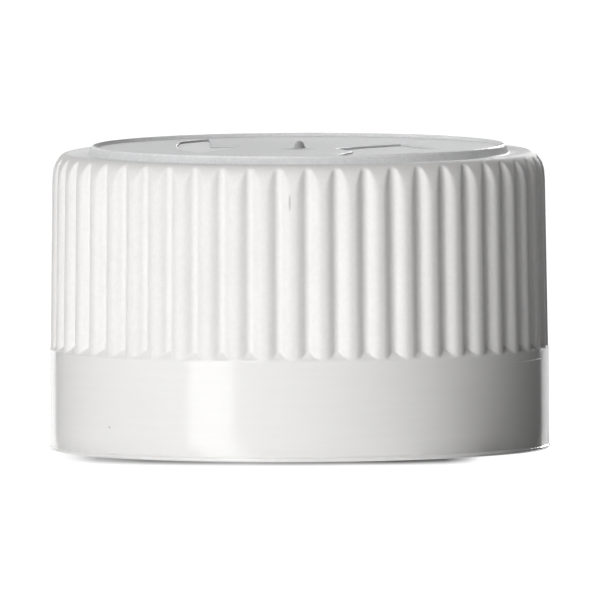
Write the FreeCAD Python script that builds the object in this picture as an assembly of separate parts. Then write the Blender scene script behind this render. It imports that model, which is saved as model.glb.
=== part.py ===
import FreeCAD, Part
import math
import os

# Child-resistant cap, push down and turn, for a 28 mm threaded bottle neck.
# Millimetres. +Z runs up the cap's axis, and z = 0 is the shell's rim, on which the cap stands.
# The outer shell turns freely round the inner cap until it is pushed down and their lugs mesh.
# Sizes run outwards from the neck and upwards from the rim, so each piece follows the one inside it.

# Inner cap, screwed on the neck
thread_root_radius = 14.05
inner_wall = 0.95
inner_depth = 12.3
inner_roof = 1.1
inner_mouth_chamfer = 0.4
inner_corner = 0.6
flange_reach = 0.5
flange_thickness = 0.7

# Liner, a loose disc under the inner cap's roof, held by a ring
liner_thickness = 1.0
liner_side_gap = 0.1
liner_ring_gap = 0.1
liner_ring_reach = 0.35

# Outer shell, inside
turning_gap = 0.35
bead_start = 0.8
bead_height = 1.0
bead_overlap = 0.3
bore_corner = 0.5

# Outer shell, outside
shell_wall = 1.15
foot_flare = 0.13
foot_height = 0.4
band_height = 7.0
roof_thickness = 1.45
shoulder_height = 1.85
shoulder_width = 1.08
shoulder_steps = 3
annulus_width = 1.39
disc_height = 0.5
disc_edge_slope = 0.22
disc_rim_width = 0.2
recess_depth = 0.25
recess_slope = 0.1
gate_radius = 0.45
gate_height = 0.5
gate_taper = 0.1

# Ribs round the shell, rounded crests and grooves that touch smoothly, each arc drawn as short flats
rib_count = 52
rib_depth = 0.52
groove_radius = 0.36
groove_flats = 3
crest_flats = 3
rib_draft_deg = 0.8

# Lugs that mesh when the shell is pushed down: upright on the inner cap, hanging in the shell
lug_count = 12
lug_setback = 0.8
lug_reach = 2.4
lug_root_width = 2.45
lug_tip_width = 1.8
inner_lug_height = 1.4
shell_lug_length = 2.0
lug_gap = 0.2
pressed_gap = 0.1

# Slanted spring fingers moulded on the inner cap's roof, drawn as the pressed shell holds them
finger_count = 6
finger_inner_radius = 6.0
finger_width = 1.8
finger_thickness = 0.6
finger_run = 5.2
finger_root = 1.2

# Radii worked out from the neck outwards
inner_cap_radius = thread_root_radius + inner_wall
flange_radius = inner_cap_radius + flange_reach
shell_bore_radius = flange_radius + turning_gap
bead_radius = flange_radius - bead_overlap
band_radius = shell_bore_radius + shell_wall
liner_radius = thread_root_radius - liner_side_gap
liner_ring_radius = thread_root_radius - liner_ring_reach
lug_outer_radius = inner_cap_radius - lug_setback
lug_inner_radius = lug_outer_radius - lug_reach

# Heights worked out from the rim upwards
bead_top = bead_start + bead_height
ceiling = bead_top + inner_depth
inner_roof_top = ceiling + inner_roof
shell_lug_tip = inner_roof_top + inner_lug_height + lug_gap
shell_ceiling = shell_lug_tip + shell_lug_length
annulus_top = shell_ceiling + roof_thickness
shoulder_start = annulus_top - shoulder_height
disc_top = annulus_top + disc_height
recess_floor = disc_top - recess_depth
push_travel = shell_lug_tip - inner_roof_top - pressed_gap
finger_top = shell_ceiling - push_travel - pressed_gap

# How far one solid reaches into another that it is fused with or cut from
bite = 0.5

axis = FreeCAD.Vector(0, 0, 1)
origin = FreeCAD.Vector(0, 0, 0)


def slope(degrees):
    return math.tan(math.radians(degrees))


def crest_radius_at(z):
    return band_radius - (z - band_height) * slope(rib_draft_deg)


def turned(*outline):
    # A solid turned about the axis, from the (radius, z) points of its outline.
    points = [FreeCAD.Vector(radius, 0, z) for radius, z in outline]
    return Part.Face(Part.makePolygon(points + [points[0]])).revolve(origin, axis, 360)


def radial_bar(outline, inner_radius, outer_radius, angle_deg):
    # A bar along a radius, from an outline of (across, z) points.
    points = [FreeCAD.Vector(inner_radius, across, z) for across, z in outline]
    face = Part.Face(Part.makePolygon(points + [points[0]]))
    bar = face.extrude(FreeCAD.Vector(outer_radius - inner_radius, 0, 0))
    bar.rotate(origin, axis, angle_deg)
    return bar


def tapered(outline, low, high, shrink):
    # A solid with flat sides, from an outline of (x, y) points that shrinks towards the axis.
    rings = []
    for z, scale in ((low, 1), (high, shrink)):
        rings.append([FreeCAD.Vector(x * scale, y * scale, z) for x, y in outline])
    bottom, top = rings
    after = list(range(1, len(outline))) + [0]
    loops = [[bottom[i], bottom[j], top[j], top[i]] for i, j in enumerate(after)]
    loops += [bottom, top]
    return Part.Solid(Part.Shell([Part.Face(Part.makePolygon(loop + [loop[0]])) for loop in loops]))


def rib_outline():
    # One rib's (x, y) points low on the skirt, from the middle of a groove round to the next one.
    # The crest radius is the one that makes the crest arc touch the groove arcs on both sides.
    crest_top = band_radius
    groove_centre = crest_top - rib_depth + groove_radius
    half_pitch = math.pi / rib_count
    spread = 2 * groove_centre * math.cos(half_pitch)
    reach = crest_top ** 2 + groove_centre ** 2 - crest_top * spread - groove_radius ** 2
    crest_radius = reach / (2 * crest_top - spread + 2 * groove_radius)
    crest_centre = crest_top - crest_radius
    across = groove_centre * math.sin(half_pitch)
    crest_half_turn = math.atan2(across, groove_centre * math.cos(half_pitch) - crest_centre)
    groove_half_turn = crest_half_turn - half_pitch
    points = []
    for step in range(crest_flats + 1):
        turn = crest_half_turn * (2 * step / crest_flats - 1)
        points.append((crest_centre + crest_radius * math.cos(turn), crest_radius * math.sin(turn)))
    for step in range(1, groove_flats):
        turn = groove_half_turn * (1 - 2 * step / groove_flats)
        out = groove_centre - groove_radius * math.cos(turn)
        side = -groove_radius * math.sin(turn)
        points.append((
            out * math.cos(half_pitch) - side * math.sin(half_pitch),
            out * math.sin(half_pitch) + side * math.cos(half_pitch),
        ))
    return points


def ribbed_column():
    # The skirt's ribs with their draft, and under them the 45 degree feet that end the grooves.
    low = band_height - rib_depth
    high = disc_top + bite
    step = 2 * math.pi / rib_count
    outline = []
    for index in range(rib_count):
        cos, sin = math.cos(index * step), math.sin(index * step)
        outline += [(x * cos - y * sin, x * sin + y * cos) for x, y in rib_outline()]
    shrink = crest_radius_at(high) / crest_radius_at(low)
    ribs = tapered(outline, low, high, shrink)
    foot_radius = (band_radius + bite) / math.cos(step / 2)
    corners = [(foot_radius * math.cos(i * step), foot_radius * math.sin(i * step)) for i in range(rib_count)]
    run = 4 * bite
    feet = tapered(corners, band_height - bite, band_height - bite + run, 1 - run / (band_radius + bite))
    base = Part.makeCylinder(band_radius + bite, band_height, FreeCAD.Vector(0, 0, -bite))
    return ribs.fuse([feet, base])


def shoulder_point(step):
    # A point of the quarter ellipse from the ribs' straight crests up to the flat round the disc.
    turn = math.radians(90 * step / shoulder_steps)
    inner = crest_radius_at(shoulder_start) - shoulder_width
    return (inner + shoulder_width * math.cos(turn), shoulder_start + shoulder_height * math.sin(turn))


def shell_outside():
    # The plain band at the mouth, then crests on a slight draft, the shoulder and the low disc with
    # a thin rim round its sunk middle.
    shoulder = [shoulder_point(step) for step in range(shoulder_steps + 1)]
    disc_foot = shoulder[-1][0] - annulus_width
    disc_rim = disc_foot - disc_edge_slope
    recess_radius = disc_rim - disc_rim_width
    blank = turned(
        (0, 0),
        (band_radius + foot_flare, 0),
        (band_radius, foot_height),
        (band_radius, shoulder_start),
        *shoulder,
        (disc_foot, annulus_top),
        (disc_rim, disc_top),
        (recess_radius, disc_top),
        (recess_radius - recess_slope, recess_floor),
        (0, recess_floor),
    )
    return blank.common(ribbed_column())


def shell_cavity():
    # The bore, with the ramped bead that snaps under the inner cap's flange.
    return turned(
        (0, -bite),
        (shell_bore_radius, -bite),
        (shell_bore_radius, bead_start),
        (bead_radius, bead_top),
        (shell_bore_radius, bead_top),
        (shell_bore_radius, shell_ceiling - bore_corner),
        (shell_bore_radius - bore_corner, shell_ceiling),
        (0, shell_ceiling),
    )


def lug_ring(root_z, tip_z, first_deg):
    # A ring of tapered lugs from a root surface to their tips, up or down.
    root = root_z - math.copysign(bite, tip_z - root_z)
    outline = [
        (-lug_root_width / 2, root),
        (lug_root_width / 2, root),
        (lug_root_width / 2, root_z),
        (lug_tip_width / 2, tip_z),
        (-lug_tip_width / 2, tip_z),
        (-lug_root_width / 2, root_z),
    ]
    step = 360 / lug_count
    return [
        radial_bar(outline, lug_inner_radius, lug_outer_radius, first_deg + step * index)
        for index in range(lug_count)
    ]


def outer_shell():
    gate = Part.makeCone(
        gate_radius,
        gate_radius - gate_taper,
        gate_height + bite,
        FreeCAD.Vector(0, 0, recess_floor - bite),
    )
    body = shell_outside().fuse(gate).cut(shell_cavity())
    return body.fuse(lug_ring(shell_ceiling, shell_lug_tip, 0)).removeSplitter()


def spring_fingers():
    # Each finger leaves the roof at its root and slants up round the axis.
    low = inner_roof_top - bite
    lift = inner_roof_top + finger_thickness / 4
    outline = [
        (0, low),
        (finger_root, low),
        (finger_root, lift),
        (finger_run, finger_top - finger_thickness),
        (finger_run, finger_top),
        (finger_run - finger_thickness, finger_top),
        (0, lift + finger_thickness),
    ]
    centred = [(across - finger_run / 2, z) for across, z in outline]
    step = 360 / finger_count
    outer = finger_inner_radius + finger_width
    return [
        radial_bar(centred, finger_inner_radius, outer, step * index)
        for index in range(finger_count)
    ]


def inner_cap():
    ring_top = ceiling - liner_thickness - liner_ring_gap
    ring_crest = ring_top - liner_ring_reach / 2
    side_top = inner_roof_top - inner_corner
    flange_top = bead_top + flange_thickness
    cup = turned(
        (thread_root_radius + inner_mouth_chamfer, bead_top),
        (flange_radius, bead_top),
        (flange_radius, flange_top),
        (inner_cap_radius, flange_top + flange_reach),
        (inner_cap_radius, side_top),
        (inner_cap_radius - inner_corner, inner_roof_top),
        (0, inner_roof_top),
        (0, ceiling),
        (thread_root_radius, ceiling),
        (thread_root_radius, ring_top),
        (liner_ring_radius, ring_crest),
        (thread_root_radius, ring_crest - liner_ring_reach),
        (thread_root_radius, bead_top + inner_mouth_chamfer),
    )
    lugs = lug_ring(inner_roof_top, inner_roof_top + inner_lug_height, 180 / lug_count)
    return cup.fuse(lugs + spring_fingers()).removeSplitter()


def liner():
    low = ceiling - liner_thickness
    return Part.makeCylinder(liner_radius, liner_thickness, FreeCAD.Vector(0, 0, low))


pieces = {"outer_shell": outer_shell(), "inner_cap": inner_cap(), "liner": liner()}
os.makedirs("parts", exist_ok=True)
for name, shape in pieces.items():
    shape.exportStep("parts/" + name + ".step")
    box = shape.BoundBox
    print(name, "solids", len(shape.Solids), "valid", shape.isValid(), "volume", round(shape.Volume, 2))
    print("  faces", len(shape.Faces), "z", round(box.ZMin, 3), round(box.ZMax, 3))
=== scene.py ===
import math

import bpy
from mathutils import Matrix, Vector


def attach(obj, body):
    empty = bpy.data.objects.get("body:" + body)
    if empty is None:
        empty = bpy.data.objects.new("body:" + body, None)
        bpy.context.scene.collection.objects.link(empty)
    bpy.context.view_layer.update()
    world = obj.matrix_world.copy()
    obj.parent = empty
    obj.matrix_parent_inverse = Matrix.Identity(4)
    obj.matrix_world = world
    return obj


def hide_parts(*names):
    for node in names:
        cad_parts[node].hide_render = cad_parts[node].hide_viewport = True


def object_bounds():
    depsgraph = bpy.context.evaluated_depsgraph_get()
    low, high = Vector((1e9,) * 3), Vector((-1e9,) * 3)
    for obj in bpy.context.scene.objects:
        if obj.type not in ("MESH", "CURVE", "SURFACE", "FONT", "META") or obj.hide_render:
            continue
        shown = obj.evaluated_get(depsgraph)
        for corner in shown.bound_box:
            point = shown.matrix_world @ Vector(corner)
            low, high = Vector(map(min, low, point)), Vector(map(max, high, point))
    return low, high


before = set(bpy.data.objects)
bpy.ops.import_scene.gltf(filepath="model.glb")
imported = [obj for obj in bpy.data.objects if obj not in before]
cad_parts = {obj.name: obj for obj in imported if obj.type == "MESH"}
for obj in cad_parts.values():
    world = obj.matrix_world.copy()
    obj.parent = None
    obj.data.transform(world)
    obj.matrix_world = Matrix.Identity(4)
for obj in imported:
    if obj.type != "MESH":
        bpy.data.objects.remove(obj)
cadLow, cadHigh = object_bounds()
mm = 0.001


# Shader maths as plain expressions

class Wire:
    # an output socket that takes part in arithmetic; every operation adds a Math node
    def __init__(self, graph, socket):
        self.graph = graph
        self.socket = socket

    def math(self, operation, *values):
        return self.graph.node("ShaderNodeMath", {"operation": operation}, dict(enumerate(values)))

    def __add__(self, other):
        return self.math("ADD", self, other)

    def __radd__(self, other):
        return self.math("ADD", other, self)

    def __sub__(self, other):
        return self.math("SUBTRACT", self, other)

    def __rsub__(self, other):
        return self.math("SUBTRACT", other, self)

    def __mul__(self, other):
        return self.math("MULTIPLY", self, other)

    def __truediv__(self, other):
        return self.math("DIVIDE", self, other)


class Graph:
    # the node tree of one material or world
    def __init__(self, owner):
        owner.use_nodes = True
        self.tree = owner.node_tree
        self.tree.nodes.clear()

    def node(self, kind, settings=None, sockets=None, output=0):
        made = self.tree.nodes.new(kind)
        for name, value in (settings or {}).items():
            setattr(made, name, value)
        for name, value in (sockets or {}).items():
            if isinstance(value, Wire):
                self.tree.links.new(value.socket, made.inputs[name])
            else:
                made.inputs[name].default_value = value
        return Wire(self, made.outputs[output]) if len(made.outputs) else None

    def objectPoint(self):
        return self.node("ShaderNodeTexCoord", output="Object")

    def noise(self, size, detail, stretch=(1, 1, 1)):
        # soft noise from 0 to 1 with lumps about size metres across
        point = self.vector("MULTIPLY", self.objectPoint(), [1 / (size * s) for s in stretch])
        return self.node("ShaderNodeTexNoise", {"noise_dimensions": "3D"},
                         {"Vector": point, "Scale": 1.0, "Detail": detail, "Roughness": 0.55})

    def between(self, value, low, high, start=0.0, end=1.0):
        # a smooth step from start at low to end at high
        return self.node("ShaderNodeMapRange", {"interpolation_type": "SMOOTHSTEP"},
                         {"Value": value, "From Min": low, "From Max": high, "To Min": start, "To Max": end})

    def blend(self, amount, first, second):
        return self.node("ShaderNodeMix", {"data_type": "RGBA"},
                         {"Factor": amount, 6: first, 7: second}, output=2)

    def vector(self, operation, first, second=None, output=0):
        sockets = {0: first} if second is None else {0: first, 1: second}
        return self.node("ShaderNodeVectorMath", {"operation": operation}, sockets, output)

    def length(self, vector):
        return self.vector("LENGTH", vector, output=1)

    def part(self, vector, axis):
        return self.node("ShaderNodeSeparateXYZ", {}, {0: vector}, output=axis)

    def cameraRay(self):
        return self.node("ShaderNodeLightPath", output="Is Camera Ray")


def spot(graph, mark):
    # 1 in the middle of an upright ellipsoid round a point of the surface, fading to 0 at its skin
    wide, high = mark["halfWidth"], mark["halfHeight"]
    away = graph.vector("SUBTRACT", graph.objectPoint(), mark["at"])
    scaled = graph.vector("DIVIDE", away, (wide, wide, high))
    return graph.between(graph.length(scaled), spotCore, 1.0, 1.0, 0.0)


# the noise levels between which each pattern runs from 0 to 1, and the clouds' share of the mottle
mottling = {"cloud": (0.35, 0.65), "polish": (0.3, 0.7), "fleck": (0.35, 0.65), "cloudShare": 0.3}
spotCore = 0.5


def plastic(name, look):
    # a moulded plastic: slight cloudiness in the colour, uneven polish and a fine surface grain
    material = bpy.data.materials.new(name)
    graph = Graph(material)
    cloud = graph.between(graph.noise(look["cloudSize"], 3), *mottling["cloud"])
    polish = graph.between(graph.noise(look["polishSize"], 2, look["polishStretch"]), *mottling["polish"])
    roughness = look["roughness"] + (polish - 0.5) * look["polishRange"]
    grain = graph.noise(look["grainSize"], 3)
    worn = grain * look["grainFleck"] + polish * (1 - look["grainFleck"])
    fleck = graph.between(worn, *mottling["fleck"])
    mottle = cloud * mottling["cloudShare"] + fleck * (1 - mottling["cloudShare"])
    colour = graph.blend(mottle, (*look["colour"], 1), (*look["cloudColour"], 1))
    wave = graph.noise(look["waveSize"], 1)
    height = grain * look["grainDepth"] + wave * look["waveDepth"]
    for mark in look.get("marks", []):
        inside = spot(graph, mark)
        colour = graph.blend(inside * mark["strength"], colour, (*mark["colour"], 1))
        height = height - inside * mark["depth"]
    shader = graph.node("ShaderNodeBsdfPrincipled", {}, {
        "Base Color": colour,
        "Roughness": roughness,
        "Normal": graph.node("ShaderNodeBump", {}, {"Height": height, "Distance": 1.0}),
        "IOR": look["ior"],
        "Subsurface Weight": look["depthGlow"],
        "Subsurface Radius": look["glowRadius"],
        "Subsurface Scale": look["glowScale"],
    })
    graph.node("ShaderNodeOutputMaterial", {}, {"Surface": shader})
    return material


# Outer shell: the solid's form in mm, with the arcs smooth and the edges rounded

shell = {
    "bandRadius": 17.0,
    "bandHeight": 6.88,
    "bandRows": (1.6, 3.4, 5.2, 6.6),
    "footFlare": 0.11,
    "footHeight": 0.4,
    "footRound": 0.2,
    "footRoundSteps": 3,
    "footFlareSteps": 5,
    "footRagged": 0.07,
    # the waves of the ragged foot: (share, turns round the foot, start)
    "wearMean": 0.5,
    "slowWear": (0.3, 7, 1.3),
    "quickWear": (0.2, 23, 0.4, 61),
    "ribCount": 52,
    "ribDepth": 0.52,
    "grooveRadius": 0.36,
    "ribInset": 0.03,
    "crestCrown": 0.02,
    "ribDraftDeg": 0.8,
    "ribRows": (8.4, 11, 14, 17),
    "shoulderHeight": 1.85,
    "shoulderWidth": 1.08,
    "annulusWidth": 1.39,
    "discHeight": 0.5,
    "discSlope": 0.22,
    "annulusDish": 0.12,
    "dishFoot": 0.12,
    "dishCorner": (0.01, 0.07),
    "dishSag": 0.01,
    "rimRound": 0.15,
    "rimRoundSteps": 4,
    "rimFoot": (0.06, 0.05),
    "discRound": 0.045,
    "discRoundSteps": 3,
    "rimWidth": 0.2,
    "recessDepth": 0.25,
    "recessSlope": 0.25,
    "recessRows": (0.02, -0.03, -4, -9),
    "gateRadius": 0.45,
    "gateTaper": 0.16,
    "gateHeight": 0.5,
    "gateRound": 0.07,
    "gateCrown": 0.01,
    "gateFoot": 0.02,
    "gateRows": (0.3, 0.04),
    "engraving": 0.15,
    "edgeSoftness": 0.08,
    "grooveSteps": 8,
    "crestSteps": 6,
    "shoulderRows": 18,
    "runOutRows": 12,
    "runOutStart": 0.1,
    "runOutEnd": 0.1,
    "runOutReach": 1.2,
    "boreRadius": 15.85,
    "beadRadius": 15.2,
    "beadStart": 0.8,
    "beadTop": 1.8,
    "beadEase": 0.02,
    "beadEdge": (0.03, 0.04),
    "rampEase": (0.01, 0.05),
    "mouthChamfer": (0.05, 0.06),
    "ceiling": 18.8,
    "boreCorner": 0.5,
    # where one finish ends and the next starts
    "insideReach": 0.06,
    "insideRise": 0.01,
    "bandRise": 0.02,
    "shoulderEdge": 15.7,
    "shoulderFall": 0.02,
    # how far down from the rim's top the painted highlight reaches
    "rimHighlightDepth": 0.13,
    "recessReach": 0.05,
    "dishRise": 0.08,
}
# the order of the material slots on the shell's mesh
shellFinishes = ["bandPolished", "ribsMatt", "discMatt", "insideSatin", "rimPaintedHighlight", "sideDull"]
floorHeight = cadHigh.z / mm - shell["gateHeight"]
rimHeight = floorHeight + shell["recessDepth"]
annulusHeight = rimHeight - shell["discHeight"]
shoulderStart = annulusHeight - shell["shoulderHeight"]
halfPitch = math.pi / shell["ribCount"]


def softMin(a, b, width):
    h = max(width - abs(a - b), 0) / width
    return min(a, b) - h * h * width / 4


def softMax(a, b, width):
    return -softMin(-a, -b, width)


def crestRadius(z):
    draft = math.tan(math.radians(shell["ribDraftDeg"]))
    return shell["bandRadius"] - shell["ribInset"] - (z - shell["bandHeight"]) * draft


def crestArc(outer):
    # the radius and centre distance of the crest arcs that touch the groove arc
    top = outer + shell["crestCrown"]
    grooveCentre = outer - shell["ribDepth"] + shell["grooveRadius"]
    spread = 2 * grooveCentre * math.cos(halfPitch)
    reach = top ** 2 + grooveCentre ** 2 - top * spread - shell["grooveRadius"] ** 2
    radius = reach / (2 * top - spread + 2 * shell["grooveRadius"])
    return radius, top - radius, grooveCentre


def ribRadius(angle, z):
    # distance from the axis to the ribbed surface; angle is measured from the middle of a groove
    outer = crestRadius(z)
    radius, crestCentre, grooveCentre = crestArc(outer)
    side = abs(angle)
    crestX = crestCentre * math.cos(halfPitch)
    crestY = crestCentre * math.sin(halfPitch)
    share = shell["grooveRadius"] / (radius + shell["grooveRadius"])
    meetX = grooveCentre + (crestX - grooveCentre) * share
    meetY = crestY * share
    if side < math.atan2(meetY, meetX):
        across = grooveCentre * math.sin(side)
        return grooveCentre * math.cos(side) - math.sqrt(shell["grooveRadius"] ** 2 - across ** 2)
    across = crestCentre * math.sin(halfPitch - side)
    crest = crestCentre * math.cos(halfPitch - side) + math.sqrt(radius ** 2 - across ** 2)
    return softMin(crest, outer, shell["edgeSoftness"] / 4)


def columnAngles():
    # columns crowd where the rib turns: equal steps of turn along the groove and crest arcs
    radius, crestCentre, grooveCentre = crestArc(crestRadius(shell["bandHeight"]))
    crestX = crestCentre * math.cos(halfPitch)
    crestY = crestCentre * math.sin(halfPitch)
    flankTurn = math.atan2(crestY, grooveCentre - crestX)
    half = []
    for step in range(shell["grooveSteps"] // 2):
        turn = flankTurn * step / (shell["grooveSteps"] / 2)
        half.append(math.atan2(shell["grooveRadius"] * math.sin(turn),
                               grooveCentre - shell["grooveRadius"] * math.cos(turn)))
    for step in range(shell["crestSteps"] + 1):
        turn = flankTurn * (1 - step / shell["crestSteps"])
        half.append(math.atan2(crestY - radius * math.sin(turn), crestX + radius * math.cos(turn)))
    return [-a for a in reversed(half[1:-1])] + half


def quarter(steps):
    # the sine and cosine of equal steps of turn from 0 to 90 degrees
    turns = [math.radians(90 * step / steps) for step in range(steps + 1)]
    return [(math.sin(turn), math.cos(turn)) for turn in turns]


def shellOutline():
    # stations up the outside: (radius, z, ribbed), where the ribs alone set a radius of None
    s = shell
    flare, r = s["footFlare"], s["footRound"]
    middle = s["bandRadius"] + flare - r
    rows = [(middle + r * sin, r - r * cos, False) for sin, cos in quarter(s["footRoundSteps"])]
    parts = [step / s["footFlareSteps"] for step in range(1, s["footFlareSteps"] + 1)]
    rows += [(s["bandRadius"] + flare * (1 - part) ** 2, r + (s["footHeight"] - r) * part, False) for part in parts]
    rows += [(s["bandRadius"], z, False) for z in s["bandRows"]]
    low = s["bandHeight"] - s["runOutStart"]
    rise = s["runOutStart"] + s["ribDepth"] + s["runOutEnd"]
    rows += [(None, low + rise * row / s["runOutRows"], True) for row in range(s["runOutRows"] + 1)]
    rows += [(None, z, True) for z in s["ribRows"]]
    inner = crestRadius(shoulderStart) - s["shoulderWidth"]
    rows += [(inner + s["shoulderWidth"] * cos, shoulderStart + s["shoulderHeight"] * sin, True)
             for sin, cos in quarter(s["shoulderRows"])]
    discFoot = inner - s["annulusWidth"]
    low = annulusHeight - s["annulusDish"]
    back, up = s["dishCorner"]
    rows.append(((inner + discFoot) / 2, (annulusHeight + low) / 2 - s["dishSag"], False))
    rows.append((discFoot + s["dishFoot"], low, False))
    rows.append((discFoot - back, low + up, False))
    rim = discFoot - s["discSlope"]
    r = s["rimRound"]
    out, down = s["rimFoot"]
    rows.append((rim + out, rimHeight - r - down, False))
    rows += [(rim - r + r * cos, rimHeight - r + r * sin, False) for sin, cos in quarter(s["rimRoundSteps"])]
    inside = rim - s["rimWidth"]
    r = s["discRound"]
    rows += [(inside + r - r * sin, rimHeight - r + r * cos, False) for sin, cos in quarter(s["discRoundSteps"])]
    foot = inside - s["recessSlope"]
    low = floorHeight - s["engraving"]
    gate = s["gateRadius"]
    rows += [(foot + offset, low, False) for offset in s["recessRows"]]
    rows += [(gate + offset, low, False) for offset in s["gateRows"]]
    rows.append((gate + s["gateFoot"], floorHeight + s["gateFoot"], False))
    tip = gate - s["gateTaper"]
    top = floorHeight + s["gateHeight"]
    rows.append((tip, top - s["gateRound"], False))
    rows.append((tip - s["gateRound"], top - s["gateCrown"], False))
    return rows


def footWear(turn):
    # how far the moulded edge falls short of full size, uneven round the foot
    share, waves, start = shell["slowWear"]
    slow = share * math.sin(waves * turn + start)
    share, waves, start, ripples = shell["quickWear"]
    quick = share * math.sin(waves * turn + start) * math.sin(ripples * turn)
    return shell["footRagged"] * (shell["wearMean"] + slow + quick)


def outsidePoint(radius, z, ribbed, angle):
    # distance from the axis to the outside: band, 45 degree ends of the grooves, ribs and shoulder
    if not ribbed:
        return radius
    soft = shell["edgeSoftness"]
    rib = ribRadius(angle, z)
    if z < shoulderStart:
        runOut = shell["bandRadius"] - max(z - shell["bandHeight"], 0)
        return softMax(rib, runOut, soft) if z < shell["bandHeight"] + shell["runOutReach"] else rib
    return softMin(rib, radius, soft) if radius < crestRadius(z) else rib


def meshObject(name, verts, faces, material, smooth=True):
    mesh = bpy.data.meshes.new(name)
    mesh.from_pydata(verts, [], faces)
    mesh.validate()
    if smooth:
        mesh.shade_smooth()
    made = bpy.data.objects.new(name, mesh)
    bpy.context.scene.collection.objects.link(made)
    for item in material if isinstance(material, (list, tuple)) else [material]:
        mesh.materials.append(item)
    return made


def shellInside():
    # stations down the inside, from the middle of the ceiling to the mouth
    s = shell
    ceiling, corner = s["ceiling"], s["boreCorner"]
    bore, bead = s["boreRadius"], s["beadRadius"]
    low, top, ease = s["beadStart"], s["beadTop"], s["beadEase"]
    edgeIn, edgeDown = s["beadEdge"]
    rampIn, rampDown = s["rampEase"]
    mouthOut, mouthUp = s["mouthChamfer"]
    return [
        (s["gateRadius"], ceiling), (bore - corner, ceiling), (bore, ceiling - corner),
        (bore, top + ease), (bore - ease, top), (bead + edgeIn, top), (bead, top - edgeDown),
        (bore - rampIn, low), (bore, low - rampDown), (bore, mouthUp), (bore + mouthOut, 0),
    ]


def finishAt(out, z):
    # the finish of a face whose middle is out mm from the axis and z mm up
    s = shell
    sideFoot = crestRadius(shoulderStart) - s["shoulderWidth"] - s["annulusWidth"]
    rimMiddle = sideFoot - s["discSlope"] - s["rimWidth"] / 2
    recessFoot = rimMiddle - s["rimWidth"] / 2 - s["recessSlope"] - s["recessReach"]
    if out < s["boreRadius"] + s["insideReach"] and z < s["ceiling"] + s["insideRise"]:
        return "insideSatin"
    if z < s["bandHeight"] + s["bandRise"]:
        return "bandPolished"
    if out > s["shoulderEdge"] and z < annulusHeight - s["shoulderFall"]:
        return "ribsMatt"
    # the rim's top edge takes the finish with the painted highlight
    if out > rimMiddle and z > rimHeight - s["rimHighlightDepth"]:
        return "rimPaintedHighlight"
    if recessFoot < out < sideFoot and z > annulusHeight - s["annulusDish"] + s["dishRise"]:
        return "sideDull"
    return "discMatt"


def buildShell(materials):
    half = columnAngles()
    columns = [(2 * halfPitch * (rib + 0.5) + angle, angle) for rib in range(shell["ribCount"]) for angle in half]
    verts, faces = [], []
    rows = shellOutline()
    for radius, z, ribbed in rows:
        for turn, angle in columns:
            r = outsidePoint(radius, z, ribbed, angle) * mm
            if z < shell["footHeight"]:
                r = r - footWear(turn) * mm
            verts.append((r * math.cos(turn), r * math.sin(turn), z * mm))
    inside = shellInside()
    for radius, z in inside:
        for turn, _ in columns:
            verts.append((radius * mm * math.cos(turn), radius * mm * math.sin(turn), z * mm))
    count = len(columns)
    total = len(rows) + len(inside)
    topRow = len(rows) - 1
    for row in range(total):
        if row == topRow:
            continue
        after = (row + 1) % total
        for column in range(count):
            nextColumn = (column + 1) % count
            faces.append((row * count + column, row * count + nextColumn,
                          after * count + nextColumn, after * count + column))
    faces.append(tuple(topRow * count + column for column in range(count)))
    faces.append(tuple((topRow + 1) * count + column for column in reversed(range(count))))
    made = meshObject("shellMoulding", verts, faces, materials)
    for face in made.data.polygons:
        x, y, z = face.center / mm
        face.material_index = shellFinishes.index(finishAt(math.hypot(x, y), z))
    return made


# Lugs that hang under the shell's roof

lugs = {"count": 12, "innerRadius": 11.8, "outerRadius": 14.2, "rootWidth": 2.45, "tipWidth": 1.8,
        "rootHeight": 18.85, "tipHeight": 16.8, "edge": 0.12}


def buildLugs(material):
    verts, faces = [], []
    for index in range(lugs["count"]):
        turn = 2 * math.pi * index / lugs["count"]
        base = len(verts)
        levels = (
            (lugs["rootHeight"], lugs["rootWidth"], 0),
            (lugs["tipHeight"] + lugs["edge"], lugs["tipWidth"], 0),
            (lugs["tipHeight"], lugs["tipWidth"] - 2 * lugs["edge"], lugs["edge"]),
        )
        for z, width, pull in levels:
            for radius, side in ((lugs["innerRadius"] + pull, -1), (lugs["outerRadius"] - pull, -1),
                                 (lugs["outerRadius"] - pull, 1), (lugs["innerRadius"] + pull, 1)):
                x, y = radius, side * width / 2
                verts.append(((x * math.cos(turn) - y * math.sin(turn)) * mm,
                              (x * math.sin(turn) + y * math.cos(turn)) * mm, z * mm))
        for level in range(2):
            low, high = base + level * 4, base + level * 4 + 4
            for side in range(4):
                after = (side + 1) % 4
                faces.append((low + side, high + side, high + after, low + after))
        faces.append((base, base + 1, base + 2, base + 3))
        faces.append((base + 11, base + 10, base + 9, base + 8))
    return meshObject("shellLugs", verts, faces, material, smooth=False)


# Thread ridge inside the inner cap

thread = {
    "rootRadius": 14.08, "crestRadius": 13.1, "pitch": 4.23, "turns": 1.5, "start": 4.2, "startDeg": 210,
    "rootWidth": 1.9, "endWidth": 0.4, "fadeTurns": 0.08, "stepsPerTurn": 96,
    # the ridge across its width: (share of the width from the middle, share of the height)
    "profile": ((-0.5, 0), (-0.32, 0.55), (-0.21, 0.9), (0, 1), (0.21, 0.9), (0.32, 0.55), (0.5, 0)),
}


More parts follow.
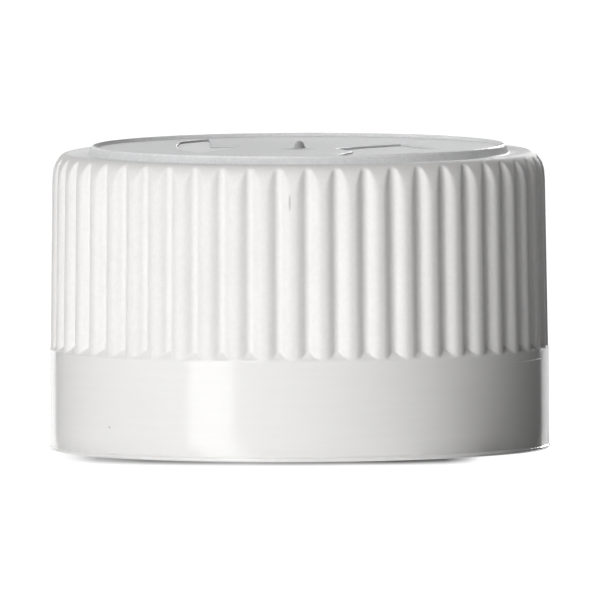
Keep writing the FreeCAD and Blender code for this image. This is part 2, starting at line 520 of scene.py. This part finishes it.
def buildThread(material):
    t = thread
    steps = int(t["turns"] * t["stepsPerTurn"])
    verts, faces = [], []
    for step in range(steps + 1):
        turns = step / t["stepsPerTurn"]
        fade = min(1, turns / t["fadeTurns"], (t["turns"] - turns) / t["fadeTurns"])
        fade = math.sin(fade * math.pi / 2) if fade > 0 else 0
        angle = math.radians(t["startDeg"]) + 2 * math.pi * turns
        middle = t["start"] + t["pitch"] * turns
        width = t["rootWidth"] * (t["endWidth"] + (1 - t["endWidth"]) * fade)
        for along, out in t["profile"]:
            radius = t["rootRadius"] - (t["rootRadius"] - t["crestRadius"]) * out * fade
            verts.append((radius * math.cos(angle) * mm, radius * math.sin(angle) * mm,
                          (middle + along * width) * mm))
    across = len(t["profile"])
    for step in range(steps):
        for side in range(across - 1):
            a = step * across + side
            faces.append((a, a + across, a + across + 1, a + 1))
        a = step * across
        faces.append((a, a + across - 1, a + 2 * across - 1, a + across))
    faces.append(tuple(range(across)))
    faces.append(tuple(reversed(range(steps * across, (steps + 1) * across))))
    return meshObject("neckThread", verts, faces, material)


# Face of the disc, with two plain direction arrows sunk in it

discFace = {
    "reach": 0.06, "edge": 0.055, "rimSteps": 160, "sharpDeg": 50,
    # outlines in mm from the axis, x to the right of the picture and y away from the camera
    "arrows": [
        [(2.6, -0.7), (4.7, 2.2), (6.9, 4.6), (8.6, 1.3), (9.8, -2.0), (7.9, -2.2),
         (7.2, -5.5), (6.0, -8.5), (4.9, -10.8), (2.5, -10.8), (3.0, -8.0), (3.8, -4.0)],
        [(-8.2, 8.3), (-6.4, 11.0), (-6.1, 6.5), (-6.1, 3.2), (-3.7, 2.9), (-4.9, -1.2),
         (-6.6, -5.2), (-7.7, -3.0), (-8.2, 0.0), (-8.4, 4.0)],
    ],
}


def buildDiscFace(material):
    d = discFace
    steps = ("shoulderWidth", "annulusWidth", "discSlope", "rimWidth", "recessSlope")
    radius = crestRadius(shoulderStart) - sum(shell[name] for name in steps) + d["reach"]
    turns = [2 * math.pi * step / d["rimSteps"] for step in range(d["rimSteps"])]
    border = [(radius * math.cos(turn), radius * math.sin(turn)) for turn in turns]
    curve = bpy.data.curves.new("discFace", "CURVE")
    curve.dimensions = "2D"
    curve.fill_mode = "BOTH"
    curve.extrude = (shell["engraving"] / 2 - d["edge"]) * mm
    curve.bevel_depth = d["edge"] * mm
    curve.bevel_resolution = 2
    curve.offset = -d["edge"] * mm
    for outline in [border] + d["arrows"]:
        spline = curve.splines.new("POLY")
        spline.points.add(len(outline) - 1)
        for point, (x, y) in zip(spline.points, outline):
            point.co = (x * mm, y * mm, 0, 1)
        spline.use_cyclic_u = True
    drawn = bpy.data.objects.new("discFaceCurve", curve)
    mesh = bpy.data.meshes.new_from_object(drawn)
    mesh.transform(Matrix.Translation((0, 0, (floorHeight - shell["engraving"] / 2) * mm)))
    mesh.name = "discFace"
    mesh.shade_smooth()
    mesh.set_sharp_from_angle(angle=math.radians(d["sharpDeg"]))
    mesh.materials.clear()
    mesh.materials.append(material)
    made = bpy.data.objects.new("discFace", mesh)
    bpy.context.scene.collection.objects.link(made)
    bpy.data.objects.remove(drawn)
    return made


# Finishes

whitePlastic = {
    "colour": (0.866, 0.86, 0.85), "cloudColour": (0.856, 0.85, 0.84), "cloudSize": 0.004,
    "roughness": 0.14, "polishRange": 0.06, "polishSize": 0.0004, "polishStretch": (20, 20, 1),
    "grainSize": 0.00012, "grainDepth": 0.0000004, "grainFleck": 0.1,
    "waveSize": 0.004, "waveDepth": 0.000012,
    "ior": 1.5, "depthGlow": 0.25, "glowRadius": (1.0, 0.95, 0.9), "glowScale": 0.0006,
}
finishes = {
    "bandPolished": dict(whitePlastic, marks=[
        # a pit low on the left, and a raised mould line on the right, coloured white as a painted highlight along
        # it
        {"at": (-0.01273, -0.01126, 0.0021), "halfWidth": 0.00012, "halfHeight": 0.00009, "depth": 0.00002,
         "strength": 0.5, "colour": (0.3, 0.3, 0.3)},
        {"at": (0.0155, -0.007, 0.0063), "halfWidth": 0.004, "halfHeight": 0.00007, "depth": -0.00002,
         "strength": 0.9, "colour": (1, 1, 1)},
    ]),
    "ribsMatt": dict(whitePlastic, roughness=0.58, polishStretch=(1, 1, 1), grainDepth=0.00002, grainSize=0.00014,
                     colour=(0.88, 0.87, 0.86), cloudColour=(0.842, 0.832, 0.824), grainFleck=0.8,
                     depthGlow=0.1, marks=[
        # a nick high on a rib in front
        {"at": (-0.00021, -0.0168, 0.01767), "halfWidth": 0.00009, "halfHeight": 0.0007, "depth": 0.00004,
         "strength": 0.5, "colour": (0.45, 0.44, 0.43)},
    ]),
    "discMatt": dict(whitePlastic, roughness=0.5, polishStretch=(1, 1, 1), grainDepth=0.00002, grainSize=0.00016,
                     colour=(0.9, 0.903, 0.908), cloudColour=(0.81, 0.813, 0.82), grainFleck=0.8, marks=[
        # the gate stub and the floor round it darkened towards grey, and a nick on the disc's side in front
        {"at": (0.0001, -0.0005, 0.02065), "halfWidth": 0.00062, "halfHeight": 0.00055, "depth": 0.00005,
         "strength": 0.9, "colour": (0.38, 0.38, 0.38)},
        {"at": (-0.0021, -0.01416, 0.0205), "halfWidth": 0.00007, "halfHeight": 0.00022, "depth": 0.00004,
         "strength": 0.5, "colour": (0.45, 0.45, 0.45)},
    ]),
    # painted highlight: the rim's top edge coloured near white where a bright line of light runs along it
    "rimPaintedHighlight": dict(whitePlastic, roughness=0.3, polishStretch=(1, 1, 1), grainDepth=0.00001,
                    colour=(0.97, 0.97, 0.97), cloudColour=(0.9, 0.9, 0.9)),
    "sideDull": dict(whitePlastic, roughness=0.9, polishRange=0.02, polishStretch=(1, 1, 1), grainDepth=0.00002,
                     grainSize=0.00016, colour=(0.9, 0.903, 0.908), cloudColour=(0.81, 0.813, 0.82), grainFleck=0.8,
                     ior=1.3),
    "faceMatt": dict(whitePlastic, roughness=0.5, polishStretch=(1, 1, 1), grainDepth=0.00001,
                     colour=(0.91, 0.915, 0.922), cloudColour=(0.87, 0.875, 0.882), grainFleck=0.5, marks=[
        # painted shade: a darker left half, and a painted shadow in front of the gate
        {"at": (-0.014, 0, 0.0205), "halfWidth": 0.022, "halfHeight": 0.02, "depth": 0,
         "strength": 0.9, "colour": (0.72, 0.723, 0.73)},
        {"at": (0, -0.0012, 0.0205), "halfWidth": 0.0014, "halfHeight": 0.001, "depth": 0,
         "strength": 0.35, "colour": (0.35, 0.35, 0.35)},
    ]),
    "insideSatin": dict(whitePlastic, roughness=0.35),
    "innerNatural": dict(whitePlastic, colour=(0.83, 0.83, 0.81), roughness=0.38),
    "linerFoam": dict(whitePlastic, colour=(0.88, 0.88, 0.87), roughness=0.6, grainSize=0.00025,
                      grainDepth=0.000015),
}
innerSharpDeg = 30
materials = {name: plastic(name, look) for name, look in finishes.items()}
print("finishes made")

shellMoulding = buildShell([materials[name] for name in shellFinishes])
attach(shellMoulding, "shell")
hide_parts("outer_shell")
shellLugs = buildLugs(materials["insideSatin"])
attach(shellLugs, "shell")
faceOfDisc = buildDiscFace(materials["faceMatt"])
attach(faceOfDisc, "shell")
neckThread = buildThread(materials["innerNatural"])
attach(neckThread, "inner")
for node, name in (("inner_cap", "innerNatural"), ("liner", "linerFoam")):
    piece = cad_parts[node]
    piece.data.materials.clear()
    piece.data.materials.append(materials[name])
    piece.data.shade_smooth()
    piece.data.set_sharp_from_angle(angle=math.radians(innerSharpDeg))
print("pieces made", len(shellMoulding.data.polygons), "faces on the shell")


# Studio

studio = {
    "distance": 1.0, "elevationDeg": 3.25, "azimuthDeg": 1.35, "rollDeg": 0.27,
    "pixelsPerMm": 14.66, "imageSize": 600, "centreX": 299.2, "footY": 448.0,
    "floorSize": 4.0, "floorColour": 0.2,
    # shadow on the table in front of the foot: (mm to the right, depth) and (azimuth, reach in mm)
    "contact": [(-16.5, 0.0), (-15.0, 0.3), (-13.5, 0.7), (-10.0, 0.88), (-6.7, 0.83), (-3.3, 0.72), (0.0, 0.8),
                (3.5, 0.85), (7.0, 1.0), (10.3, 0.98), (11.7, 0.55), (12.8, 0.0)],
    "contactLight": 0.15, "contactStart": 0.5, "contactFront": (-0.006, -0.004),
    "contactReach": [(-180, 7.0), (-38, 7.5), (-15, 6.2), (12, 6.2), (38, 8.5), (180, 8.5)],
    # light that the table throws back up: (azimuth from the camera, brightness)
    "table": [(-180, 0.03), (-154, 0.07), (-130, 0.16), (-106, 0.32), (-82, 0.66), (-66, 0.72),
              (-46, 0.7), (-10, 0.8), (26, 0.76), (38, 0.53), (50, 0.15), (70, 0.1), (98, 0.04), (180, 0.03)],
    # the tent round the object: (azimuth from the camera, brightness), positive to the camera's right
    "walls": [(-180, 0.5), (-168, 1.3), (-157, 1.3), (-153, 0.1), (-142, 0.13), (-130, 0.05),
              (-82, 0.04), (-66, 0.09), (-46, 0.05), (-28, 0.12), (14, 0.07),
              (130, 0.05), (152, 0.06), (155.5, 1.2), (168, 1.2), (180, 0.5)],
    "softbox": {"from": -51, "to": -28, "edge": 1.0, "farEdge": 3.0, "gain": 3.1},
    "keys": [{"azimuthDeg": -22, "elevationDeg": 25, "radiusDeg": 12, "gain": 9.1},
             {"azimuthDeg": 168, "elevationDeg": 15, "radiusDeg": 8, "gain": 19}],
    "keyEdge": 0.004,
    # the walls dim towards the zenith, between these sines of the height
    "dimFrom": 0.45, "dimTo": 0.9, "zenithLevel": 0.35,
    "clipEnd": 20,
}


def around(azimuthDeg, elevationDeg, distance):
    # a point seen from the object; azimuth 0 is the camera's side, positive to its right
    azimuth, elevation = math.radians(azimuthDeg), math.radians(elevationDeg)
    return Vector((math.sin(azimuth) * math.cos(elevation), -math.cos(azimuth) * math.cos(elevation),
                   math.sin(elevation))) * distance


def aim(made, target, roll):
    direction = (target - made.location).normalized()
    facing = direction.to_track_quat("-Z", "Y").to_matrix()
    made.rotation_euler = (facing @ Matrix.Rotation(roll, 3, "Z")).to_euler()


def follow(graph, value, stops):
    # a level on straight lines between (value, level) stops
    level = stops[0][1]
    for (start, low), (end, high) in zip(stops, stops[1:]):
        if low != high:
            level = level + graph.node("ShaderNodeMapRange", {}, {
                "Value": value, "From Min": start, "From Max": end, "To Min": 0.0, "To Max": high - low})
    return level


def azimuthDegOf(graph, way):
    # degrees round the object from the camera's side, positive to the camera's right
    x, y = graph.part(way, 0), graph.part(way, 1)
    return graph.node("ShaderNodeMath", {"operation": "ARCTAN2"}, {0: x, 1: 0 - y}) * math.degrees(1)


def buildFloor():
    half = studio["floorSize"] / 2
    material = bpy.data.materials.new("studioFloor")
    graph = Graph(material)
    level = studio["floorColour"]
    paper = graph.node("ShaderNodeBsdfDiffuse", {}, {"Color": (level, level, level, 1)})
    seen = graph.cameraRay()
    place = graph.objectPoint()
    azimuth = azimuthDegOf(graph, place)
    foot = shell["bandRadius"] + shell["footFlare"]
    reach = follow(graph, azimuth, studio["contactReach"])
    fade = graph.between(graph.length(place) / mm, foot + studio["contactStart"], reach + foot, 1.0, 0.0)
    inFront = graph.between(graph.part(place, 1), *studio["contactFront"], 1.0, 0.0)
    shade = follow(graph, graph.part(place, 0) / mm, studio["contact"]) * fade * inFront
    bounce = follow(graph, azimuth, studio["table"]) * (1 - shade * studio["contactLight"])
    glow = graph.node("ShaderNodeEmission", {}, {
        "Color": (1, 1, 1, 1), "Strength": seen * (1 - shade) + (1 - seen) * bounce})
    both = graph.node("ShaderNodeAddShader", {}, {0: paper, 1: glow})
    graph.node("ShaderNodeOutputMaterial", {}, {"Surface": both})
    floor = meshObject("studioFloor", [(-half, -half, 0), (half, -half, 0), (half, half, 0), (-half, half, 0)],
                       [(0, 1, 2, 3)], material)
    floor.visible_glossy = False


def buildTent():
    # walls all round, a softbox at front left that the band mirrors, and round lights above it and behind;
    # the camera itself sees plain white
    world = bpy.data.worlds.new("studioTent")
    bpy.context.scene.world = world
    graph = Graph(world)
    s = studio
    way = graph.node("ShaderNodeTexCoord", output="Generated")
    azimuth = azimuthDegOf(graph, way)
    box = s["softbox"]
    risen = graph.between(azimuth, box["from"] - box["edge"], box["from"])
    fallen = graph.between(azimuth, box["to"] - box["farEdge"], box["to"], 1.0, 0.0)
    level = follow(graph, azimuth, s["walls"]) + risen * fallen * box["gain"]
    level = level * graph.between(graph.part(way, 2), s["dimFrom"], s["dimTo"], 1.0, s["zenithLevel"])
    for key in s["keys"]:
        toKey = graph.vector("DOT_PRODUCT", way, around(key["azimuthDeg"], key["elevationDeg"], 1), output=1)
        rim = math.cos(math.radians(key["radiusDeg"]))
        level = level + graph.between(toKey, rim - s["keyEdge"], rim + s["keyEdge"]) * key["gain"]
    seen = graph.cameraRay()
    sky = graph.node("ShaderNodeBackground", {}, {"Color": (1, 1, 1, 1), "Strength": level * (1 - seen) + seen})
    graph.node("ShaderNodeOutputWorld", {}, {"Surface": sky})


def buildCamera():
    data = bpy.data.cameras.new("camera")
    camera = bpy.data.objects.new("camera", data)
    bpy.context.scene.collection.objects.link(camera)
    bpy.context.scene.camera = camera
    s = studio
    span = s["imageSize"] / s["pixelsPerMm"] * mm
    data.type = "ORTHO"  # the photograph was taken from far away with a long lens
    data.ortho_scale = span
    data.clip_end = s["clipEnd"]
    elevation, azimuth = math.radians(s["elevationDeg"]), math.radians(s["azimuthDeg"])
    right = Vector((math.cos(azimuth), math.sin(azimuth), 0))
    middle = s["imageSize"] / 2
    sideways = (middle - s["centreX"]) / s["pixelsPerMm"] * mm
    height = (s["footY"] - middle) / s["pixelsPerMm"] / math.cos(elevation) * mm
    target = Vector((0, 0, height)) + right * sideways
    camera.location = target + around(s["azimuthDeg"], s["elevationDeg"], s["distance"])
    aim(camera, target, math.radians(-s["rollDeg"]))


buildFloor()
buildTent()
buildCamera()
bpy.context.scene.view_settings.view_transform = "Standard"
print("studio made")
